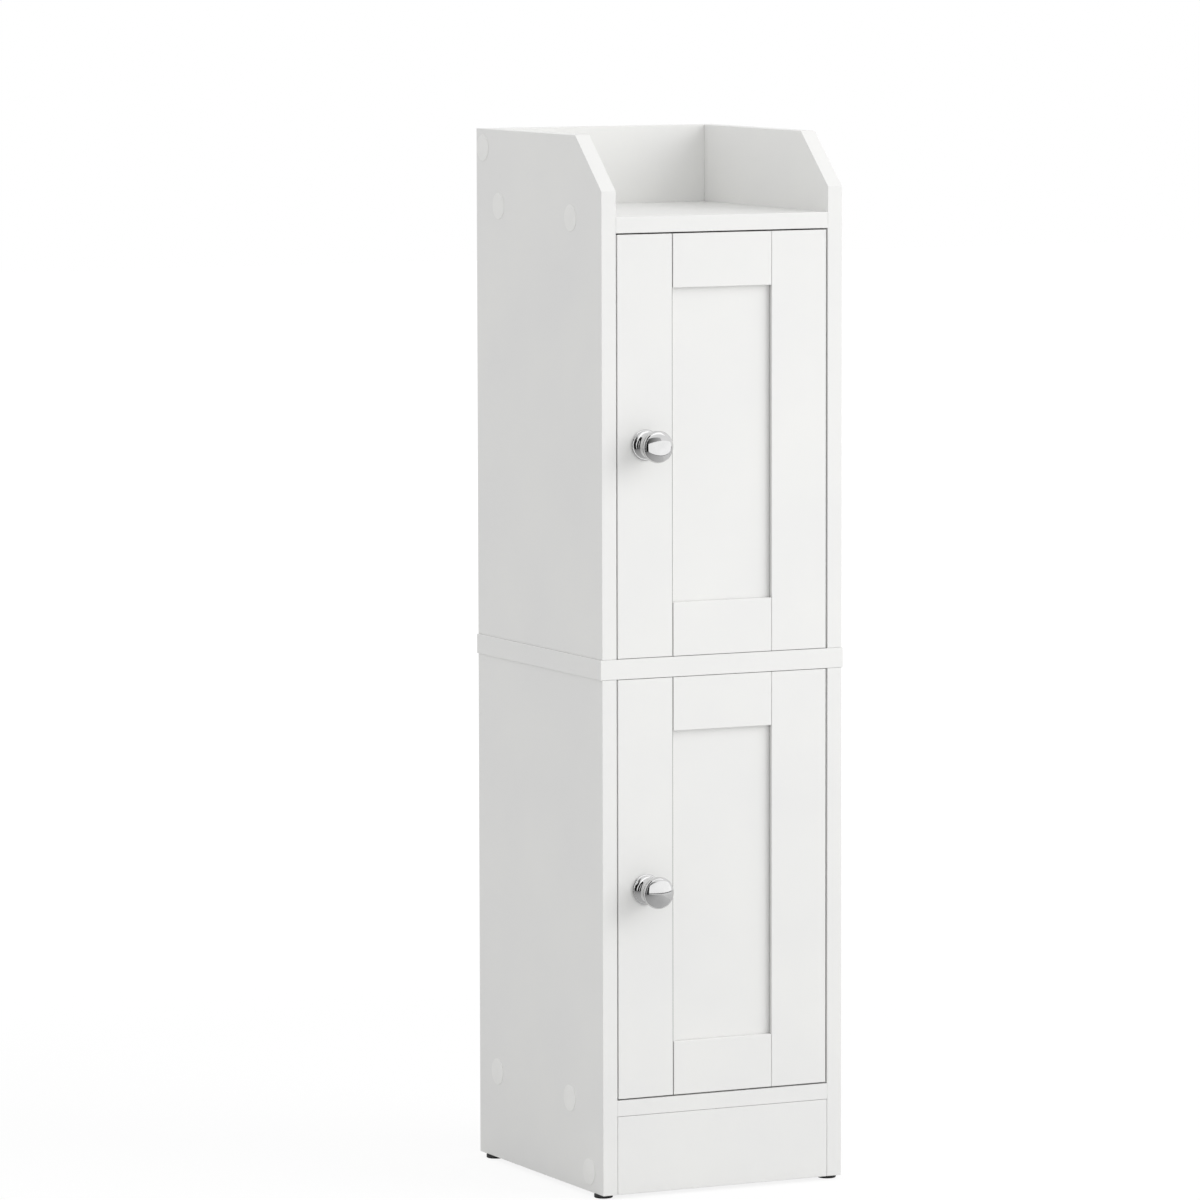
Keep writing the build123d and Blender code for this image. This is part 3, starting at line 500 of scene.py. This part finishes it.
def make_on(name, tree, places, finish, body, stands_for, sizes=None):
    """Runs a tree on its places, each a point, an axis and a scale, and keeps a plain mesh."""
    seats = bpy.data.meshes.new(name)
    seats.from_pydata([tuple(point) for point, axis, scale in places], [], [])
    for title, column in (("axis", 1), ("scale", 2)):
        kept = seats.attributes.new(title, "FLOAT_VECTOR", "POINT")
        for item, place in zip(kept.data, places):
            item.vector = place[column]
    piece = bpy.data.objects.new(name, seats)
    scene.collection.objects.link(piece)
    maker = piece.modifiers.new("maker", "NODES")
    maker.node_group = tree
    inputs = [item for item in tree.interface.items_tree if item.in_out == "INPUT"]
    names = {item.name: item.identifier for item in inputs}
    maker[names["Finish"]] = finish
    for title, value in (sizes or {}).items():
        maker[names[title]] = value
    piece.update_tag()
    ready = piece.evaluated_get(bpy.context.evaluated_depsgraph_get())
    made = bpy.data.meshes.new_from_object(ready)
    piece.modifiers.clear()
    piece.data = made
    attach(piece, body)
    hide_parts(stands_for)


def along(box, way, shift=0.0, stretch=1.0, size=1.0):
    """Place on a solid's end, whose piece then runs the given way, shifted by some millimetres."""
    low, high = box
    middle = (low + high) / 2
    half = sum(abs(w) * (h - l) / 2 for w, l, h in zip(way, low, high))
    way = Vector(way)
    scale = (0.001 * size, 0.001 * size, 0.001 * size * stretch)
    return middle + way * (shift / 1000 - half), way, scale


tree, given = start_tree("fluted_dowel", DOWEL)
inner = node(
    tree,
    "ShaderNodeMath",
    {0: given["Radius"], 1: given["Flute Depth"]},
    operation="SUBTRACT",
)
star = node(
    tree,
    "GeometryNodeCurveStar",
    {"Points": given["Flutes"], "Inner Radius": inner.outputs[0], "Outer Radius": given["Radius"]},
)
top = node(tree, "ShaderNodeCombineXYZ", {"Z": given["Length"]})
core = node(tree, "GeometryNodeCurvePrimitiveLine", {"End": top.outputs[0]}, mode="POINTS")
steps = node(
    tree,
    "GeometryNodeResampleCurve",
    {"Curve": core.outputs[0], "Length": given["Lead"]},
    mode="LENGTH",
)
reach = node(tree, "GeometryNodeSplineParameter").outputs["Length"]
rest = node(tree, "ShaderNodeMath", {0: given["Length"], 1: reach}, operation="SUBTRACT")
nearer = node(tree, "ShaderNodeMath", {0: reach, 1: rest.outputs[0]}, operation="MINIMUM")
lead = node(
    tree,
    "ShaderNodeMapRange",
    {
        "Value": nearer.outputs[0],
        "From Max": given["Lead"],
        "To Min": given["Lead Share"],
        "To Max": 1.0,
    },
)
tapered = node(
    tree,
    "GeometryNodeSetCurveRadius",
    {"Curve": steps.outputs[0], "Radius": lead.outputs[0]},
)
peg = node(
    tree,
    "GeometryNodeCurveToMesh",
    {
        "Curve": tapered.outputs[0],
        "Profile Curve": star.outputs[0],
        "Fill Caps": True,
        "Scale": lead.outputs[0],
    },
)
end_tree(tree, given, peg.outputs[0])
dowels = []
for low, high in solids_of("dowels"):
    size = high - low
    way = (1, 0, 0) if size.x > size.z else (0, 0, 1)
    dowels.append(along((low, high), way, stretch=max(size) * 1000 / DOWEL["Length"]))
# Turned beech: the same wood with the grain along the pegs, most of which lie across the cabinet.
peg_beech = coat(
    "turned_beech_lengthways", "#D6B182", "#BD9060", 4.0, (0.5, 0.65), 0.6, 0.02, pattern=LENGTHWAYS
)
make_on("fluted_dowels", tree, dowels, peg_beech, "cabinet", "dowels")


# Assembly screws. Zinc-plated countersunk wood screws with a cross recess, driven through the
# sides into the shelf ends, the back rail and the corner blocks.
SIDE_SCREW = {
    "head middle": [(0.0, 0.0)],
    "head rim": [(3.55, 0.0)],
    "head edge": [(3.6, 0.1)],
    "neck": [(1.35, 2.4)],
    "core": [(1.2, 28.0)],
    "tip": [(0.0, 32.0)],
}
SIDE_THREAD = {
    "Thread Start": 5.0,
    "Thread Length": 25.5,
    "Turns": 16.0,
    "Thread Core": 1.1,
    "Thread Depth": 0.62,
}
SIDE_RECESS = {"Recess": (3.6, 0.75, 3.4)}
# An outline is swept round a ring of a thousandth of a millimetre, and its poles are welded shut.
AXIS_RING = 0.001
POLE_WELD = 0.004
# A thread has steps in each turn, a three-cornered ridge, and a run-out at both of its ends.
THREAD_STEPS = 12
THREAD_CORNERS = 3
RUNOUT_SHARE = 0.06
RUNOUT_LEAST = 0.1


def ends_of(outline):
    """Named sizes of an outline: the end of each straight run, the middle and end of each arc."""
    sizes = {}
    for name, run in outline.items():
        sizes[name + " end"] = (*run[-1], 0.0)
        if len(run) == 2:
            sizes[name + " middle"] = (*run[0], 0.0)
    return sizes


def turned(tree, given, outline, around=32, bow=10):
    """Turns an outline of radius and height, in steps around and on each arc, and closes it."""
    runs = []
    start = None
    for name, run in outline.items():
        end = given[name + " end"]
        if len(run) == 2:
            arc = {"Resolution": bow, "Start": start, "Middle": given[name + " middle"], "End": end}
            runs.append(node(tree, "GeometryNodeCurveArc", arc, mode="POINTS").outputs[0])
        elif start is not None:
            straight = {"Start": start, "End": end}
            runs.append(node(tree, "GeometryNodeCurvePrimitiveLine", straight).outputs[0])
        start = end
    line = node(tree, "GeometryNodeJoinGeometry", {0: runs})
    ring = node(
        tree,
        "GeometryNodeCurvePrimitiveCircle",
        {"Resolution": around, "Radius": AXIS_RING},
    )
    swept = node(
        tree,
        "GeometryNodeCurveToMesh",
        {"Curve": ring.outputs[0], "Profile Curve": line.outputs[0]},
    )
    upright = node(
        tree,
        "GeometryNodeTransform",
        {"Geometry": swept.outputs[0], "Rotation": (math.pi, 0, 0)},
    )
    closed = {"Geometry": upright.outputs[0], "Distance": POLE_WELD}
    return node(tree, "GeometryNodeMergeByDistance", closed).outputs[0]


def screw_tree(title, outline, thread, recess):
    """Tree of a screw: a turned body, a cross recess in its head and a thread round its core."""
    tree, given = start_tree(title, {**ends_of(outline), **thread, **recess})
    blank = turned(tree, given, outline, around=24)
    top = node(tree, "ShaderNodeSeparateXYZ", {0: given[next(iter(outline)) + " end"]})
    raised = node(tree, "ShaderNodeCombineXYZ", {"Z": top.outputs["Y"]})
    blade = node(tree, "GeometryNodeMeshCube", {"Size": given["Recess"]})
    blades = []
    for angle in (0.0, math.pi / 2):
        set_in = {
            "Geometry": blade.outputs[0],
            "Translation": raised.outputs[0],
            "Rotation": (0, 0, angle),
        }
        blades.append(node(tree, "GeometryNodeTransform", set_in).outputs[0])
    cut = node(
        tree,
        "GeometryNodeMeshBoolean",
        {"Mesh 1": blank, "Mesh 2": blades, "Self Intersection": True},
        operation="DIFFERENCE",
        solver="EXACT",
    )
    coil = node(
        tree,
        "GeometryNodeCurveSpiral",
        {
            "Resolution": THREAD_STEPS,
            "Rotations": given["Turns"],
            "Start Radius": given["Thread Core"],
            "End Radius": given["Thread Core"],
            "Height": given["Thread Length"],
        },
    )
    level = node(tree, "GeometryNodeSetCurveNormal", {0: coil.outputs[0]}, mode="Z_UP")
    part = node(tree, "GeometryNodeSplineParameter").outputs["Factor"]
    back = node(tree, "ShaderNodeMath", {0: 1.0, 1: part}, operation="SUBTRACT")
    near = node(tree, "ShaderNodeMath", {0: part, 1: back.outputs[0]}, operation="MINIMUM")
    runout = node(
        tree,
        "ShaderNodeMapRange",
        {"Value": near.outputs[0], "From Max": RUNOUT_SHARE, "To Min": RUNOUT_LEAST},
    )
    wedge = node(
        tree,
        "GeometryNodeCurvePrimitiveCircle",
        {"Resolution": THREAD_CORNERS, "Radius": given["Thread Depth"]},
    )
    ridge = node(
        tree,
        "GeometryNodeCurveToMesh",
        {
            "Curve": level.outputs[0],
            "Profile Curve": wedge.outputs[0],
            "Fill Caps": True,
            "Scale": runout.outputs[0],
        },
    )
    lifted = node(tree, "ShaderNodeCombineXYZ", {"Z": given["Thread Start"]})
    ridge = node(
        tree,
        "GeometryNodeTransform",
        {"Geometry": ridge.outputs[0], "Translation": lifted.outputs[0]},
    )
    whole = node(tree, "GeometryNodeJoinGeometry", {0: [cut.outputs[0], ridge.outputs[0]]})
    end_tree(tree, given, whole.outputs[0], roll=math.pi)
    return tree


# Bright zinc plating on drawn steel: a cool grey metal, half matt, with a slight spangle.
zinc = coat("bright_zinc_plate", "#C2C5C9", "#B4B7BB", 3.0, (0.28, 0.38), 0.5, 0.003, metal=1.0)
wood_screw = screw_tree("countersunk_wood_screw", SIDE_SCREW, SIDE_THREAD, SIDE_RECESS)
screws = []
for low, high in solids_of("side_screws"):
    inward = (1, 0, 0) if low.x < 0 else (-1, 0, 0)
    screws.append(along((low, high), inward))
make_on("threaded_side_screws", wood_screw, screws, zinc, "cabinet", "side_screws")


# Screw covers. Round white stickers of 20 mm pressed over the screw heads, a shade lighter and
# a little duller than the lacquer, with a softly rounded edge.
COVER = {
    "back middle": [(0.0, 0.0)],
    "back rim": [(9.95, 0.0)],
    "edge": [(10.0, 0.22)],
    "face rim": [(9.94, 0.36), (9.8, 0.4)],
    "face middle": [(0.0, 0.4)],
}
sticker = coat("white_foil_sticker", "#F4F4F2", "#F1F1EF", 12.0, (0.5, 0.58), 0.7, 0.006)
tree, given = start_tree("screw_cover", ends_of(COVER))
end_tree(tree, given, turned(tree, given, COVER, around=64, bow=5))
covers = []
for low, high in solids_of("screw_covers"):
    outward = (-1, 0, 0) if low.x < 0 else (1, 0, 0)
    covers.append(along((low, high), outward))
make_on("round_screw_covers", tree, covers, sticker, "cabinet", "screw_covers")


# Cam fittings. Cast zinc cams in the side boards draw the ends of four double-ended bolts, which
# pass through the middle board and clamp the sides to it.
CAM_BOLT = {
    "lower end": [(0.0, 0.0)],
    "lower chamfer": [(2.0, 0.0)],
    "lower head": [(2.5, 0.6)],
    "lower shoulder": [(2.5, 2.0)],
    "lower neck": [(1.5, 2.8)],
    "lower neck end": [(1.5, 5.2)],
    "lower collar": [(2.5, 6.2)],
    "upper collar": [(2.5, 53.8)],
    "upper neck": [(1.5, 54.8)],
    "upper neck end": [(1.5, 57.2)],
    "upper shoulder": [(2.5, 58.0)],
    "upper head": [(2.5, 59.4)],
    "upper chamfer": [(2.0, 60.0)],
    "upper end": [(0.0, 60.0)],
}
# Die-cast zinc: darker and duller than plated steel, with a fine pitted skin.
cast = coat("die_cast_zinc", "#9A9B9E", "#88898C", 2.0, (0.45, 0.6), 0.3, 0.02, metal=1.0)
dress(cast, "cam_discs")
tree, given = start_tree("double_ended_bolt", ends_of(CAM_BOLT))
end_tree(tree, given, turned(tree, given, CAM_BOLT, around=24))
bolts = [along(box, (0, 0, 1)) for box in solids_of("cam_bolts")]
make_on("double_ended_bolts", tree, bolts, zinc, "cabinet", "cam_bolts")


# Shelf pins. Zinc-plated pegs with a half-round head, pushed into the rows of holes; the loose
# shelves lie on them.
dress(zinc, "shelf_pins")


# Floor glides. Four dark moulded discs nailed under the side boards, with the nail head sunk in
# the middle of each.
GLIDE = {
    "nail middle": [(0.0, 0.7)],
    "nail rim": [(2.0, 0.7)],
    "sink": [(2.6, 0.0)],
    "sole": [(6.2, 0.0)],
    "sole edge": [(6.8, 0.2), (7.0, 0.8)],
    "wall": [(7.0, 2.7)],
    "top edge": [(6.7, 3.0)],
    "top middle": [(0.0, 3.0)],
}
# Moulded dark polypropylene: dull, with a fine spark-eroded grain.
dull_plastic = coat("dark_polypropylene", "#2B2B2C", "#222223", 8.0, (0.45, 0.55), 0.5, 0.02)
tree, given = start_tree("floor_glide", ends_of(GLIDE))
end_tree(tree, given, turned(tree, given, GLIDE, around=48, bow=5))
glides = [along(box, (0, 0, 1)) for box in solids_of("floor_glides")]
make_on("nailed_floor_glides", tree, glides, dull_plastic, "cabinet", "floor_glides")


# Concealed hinges. Two to a door: a drawn cup let into the stile, a cranked arm on a plate that
# is screwed to the side board, and a pin through the cup that the arm's rolled eye turns on.
PIN = {
    "lower end": [(0.0, 0.0)],
    "lower rim": [(1.0, 0.0)],
    "lower edge": [(1.25, 0.25)],
    "upper edge": [(1.25, 20.75)],
    "upper rim": [(1.0, 21.0)],
    "upper end": [(0.0, 21.0)],
}
DRAWN = (1.0, 1.0, 0.4)
# Nickel plating on pressed steel: a warm grey metal, satin, with faint drawing marks.
nickel = coat(
    "nickel_plated_steel", "#C6C4BE", "#BEBCB6", 12.0, (0.24, 0.31), 1.0, 0.0015, metal=1.0, pattern=DRAWN
)
dress(nickel, "hinge_arms", "hinge_plates", "lower_hinge_cups", "upper_hinge_cups")
tree, given = start_tree("hinge_pin", ends_of(PIN))
end_tree(tree, given, turned(tree, given, PIN, around=24))
for level in ("lower", "upper"):
    body = f"{level}_door"
    hidden = f"{level}_cup_pins"
    pins = [along(box, (0, 0, 1)) for box in solids_of(hidden)]
    make_on(f"{level}_hinge_pins", tree, pins, zinc, body, hidden)


# Hinge screws. Zinc-plated pan-head screws: two hold each cup in the stile, two each plate on
# the side board, and two machine screws hold and set each arm.
PAN_SCREW = {
    "crown": [(0.0, -1.6)],
    "dome": [(2.3, -1.4), (3.3, -0.6)],
    "brim": [(3.4, -0.3)],
    "seat edge": [(3.3, 0.0)],
    "seat": [(1.3, 0.0)],
    "core": [(1.2, 8.8)],
    "tip": [(0.0, 10.5)],
}
PAN_THREAD = {
    "Thread Start": 0.6,
    "Thread Length": 9.0,
    "Turns": 8.0,
    "Thread Core": 1.1,
    "Thread Depth": 0.62,
}
PAN_RECESS = {"Recess": (3.4, 0.8, 2.0)}
ARM_SCREW = {
    "crown": [(0.0, -1.4)],
    "dome": [(2.0, -1.25), (2.9, -0.6)],
    "brim": [(3.0, -0.3)],
    "seat edge": [(2.9, 0.0)],
    "seat": [(1.2, 0.0)],
    "core": [(1.2, 4.6)],
    "tip": [(0.0, 5.0)],
}
ARM_THREAD = {
    "Thread Start": 0.3,
    "Thread Length": 4.3,
    "Turns": 6.0,
    "Thread Core": 1.15,
    "Thread Depth": 0.3,
}
ARM_RECESS = {"Recess": (3.6, 0.9, 1.9)}
ARM_HEAD = 2 * ARM_SCREW["brim"][0][0]


def crown_of(outline):
    """How far a screw's crown stands above its seat."""
    return -outline["crown"][0][1]


def seated(name, way, outline):
    """Places of screws whose seat lies the height of their crown in from the solid's end."""
    return [along(box, way, shift=crown_of(outline)) for box in solids_of(name)]


pan_screw = screw_tree("pan_head_screw", PAN_SCREW, PAN_THREAD, PAN_RECESS)
hidden = "hinge_plate_screws"
places = seated(hidden, (1, 0, 0), PAN_SCREW)
make_on("threaded_plate_screws", pan_screw, places, zinc, "cabinet", hidden)
hidden = "hinge_arm_screws"
places = []
for low, high in solids_of(hidden):
    wider = 1000 * (high.y - low.y) / ARM_HEAD
    raised = crown_of(ARM_SCREW)
    places.append(along((low, high), (1, 0, 0), shift=raised, size=wider, stretch=1 / wider))
sizes = {**ends_of(ARM_SCREW), **ARM_THREAD, **ARM_RECESS}
make_on("arm_setting_screws", pan_screw, places, zinc, "cabinet", hidden, sizes)
for level in ("lower", "upper"):
    title = f"{level}_threaded_cup_screws"
    body = f"{level}_door"
    hidden = f"{level}_cup_screws"
    places = seated(hidden, (0, -1, 0), PAN_SCREW)
    make_on(title, pan_screw, places, zinc, body, hidden)


# Magnetic catches. A white moulded case with two ears is screwed under each ceiling; it holds a
# magnet, and a thin steel strike plate on the back of the stile meets it.
STRIKE_SCREW = {
    "crown": [(0.0, -0.3)],
    "dome": [(1.4, -0.26), (2.1, -0.1)],
    "brim": [(2.2, -0.05)],
    "seat edge": [(2.15, 0.0)],
    "seat": [(0.95, 0.0)],
    "core": [(0.9, 6.8)],
    "tip": [(0.0, 8.0)],
}
STRIKE_THREAD = {
    "Thread Start": 0.4,
    "Thread Length": 6.9,
    "Turns": 8.0,
    "Thread Core": 0.8,
    "Thread Depth": 0.45,
}
STRIKE_RECESS = {"Recess": (2.2, 0.5, 0.4)}
ROLLED = (0.2, 1.0, 1.0)
# Moulded white polystyrene: half gloss, with a fine moulded grain.
moulded = coat("moulded_white_plastic", "#ECECE8", "#E7E7E3", 10.0, (0.34, 0.42), 0.5, 0.01)
# Plated magnet and strike steel: darker than the screws, half gloss with a rolled grain.
rolled = coat(
    "plated_strike_steel", "#A2A3A6", "#989A9D", 10.0, (0.28, 0.36), 0.6, 0.0015, metal=1.0, pattern=ROLLED
)
dress(moulded, "catch_housings")
dress(rolled, "catch_magnets", "lower_strike_plate", "upper_strike_plate")
hidden = "catch_screws"
places = seated(hidden, (0, 0, 1), PAN_SCREW)
make_on("threaded_catch_screws", pan_screw, places, zinc, "cabinet", hidden)
sizes = {**ends_of(STRIKE_SCREW), **STRIKE_THREAD, **STRIKE_RECESS}
for level in ("lower", "upper"):
    title = f"{level}_threaded_strike_screws"
    body = f"{level}_door"
    hidden = f"{level}_strike_screws"
    places = seated(hidden, (0, -1, 0), STRIKE_SCREW)
    make_on(title, pan_screw, places, zinc, body, hidden, sizes)


# Knobs. Turned brass, polished and chrome plated: a dished rosette, a ringed neck and a domed
# mushroom head. A screw through the stile from behind holds each one.
KNOB_OUT = 28.0
CROWN_EDGE = (10.9, 24.0)
crown_drop = KNOB_OUT - CROWN_EDGE[1]
crown_radius = (CROWN_EDGE[0] ** 2 + crown_drop**2) / (2 * crown_drop)
crown_turn = math.asin(CROWN_EDGE[0] / crown_radius) / 2
crown_middle = (
    crown_radius * math.sin(crown_turn),
    KNOB_OUT - crown_radius * (1 - math.cos(crown_turn)),
)
KNOB = {
    "bore bottom": [(0.0, 10.0)],
    "bore wall": [(2.0, 10.0)],
    "bore mouth": [(2.0, 0.0)],
    "seat": [(11.2, 0.0)],
    "rosette rim": [(11.6, 0.7), (11.2, 1.5)],
    "step": [(10.8, 1.8), (10.2, 1.9)],
    "dish": [(7.3, 5.0), (6.0, 8.6)],
    "bead": [(6.8, 9.5), (6.0, 10.4)],
    "neck": [(4.7, 12.6), (5.6, 15.0)],
    "collar": [(6.4, 15.6), (6.0, 16.3)],
    "flare": [(8.6, 18.2), (11.2, 18.9)],
    "head rim": [(11.8, 19.5), (11.3, 20.1)],
    "groove": [(11.35, 20.5), (11.86, 20.71)],
    "shoulder": [(12.0, 21.62), CROWN_EDGE],
    "crown": [crown_middle, (0.0, KNOB_OUT)],
}
KNOB_SCREW = {
    "crown": [(0.0, -2.2)],
    "dome": [(2.7, -1.95), (3.85, -0.9)],
    "brim": [(4.0, -0.4)],
    "seat edge": [(3.9, 0.0)],
    "seat": [(1.6, 0.0)],
    "core": [(1.6, 23.4)],
    "tip": [(0.0, 24.0)],
}
KNOB_THREAD = {
    "Thread Start": 14.5,
    "Thread Length": 9.0,
    "Turns": 13.0,
    "Thread Core": 1.55,
    "Thread Depth": 0.33,
}
KNOB_RECESS = {"Recess": (4.4, 0.9, 2.8)}
# Chrome plate over polished brass: a mirror with the faintest wipe marks.
chrome = coat("polished_chrome_plate", "#D7D7D7", "#D1D1D1", 6.0, (0.03, 0.07), 1.5, 0.0005, metal=1.0)
knob_tree, given = start_tree("turned_knob", ends_of(KNOB))
end_tree(knob_tree, given, turned(knob_tree, given, KNOB, around=96, bow=12))
sizes = {**ends_of(KNOB_SCREW), **KNOB_THREAD, **KNOB_RECESS}
for level in ("lower", "upper"):
    body = f"{level}_door"
    hidden = f"{level}_knob"
    places = [along(box, (0, -1, 0)) for box in solids_of(hidden)]
    make_on(f"{level}_turned_knob", knob_tree, places, chrome, body, hidden)
    title = f"{level}_threaded_knob_screw"
    hidden = f"{level}_knob_screw"
    places = seated(hidden, (0, -1, 0), KNOB_SCREW)
    make_on(title, pan_screw, places, zinc, body, hidden, sizes)


# Size of the dressed cabinet, leaving out the floor and the cards.
low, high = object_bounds()
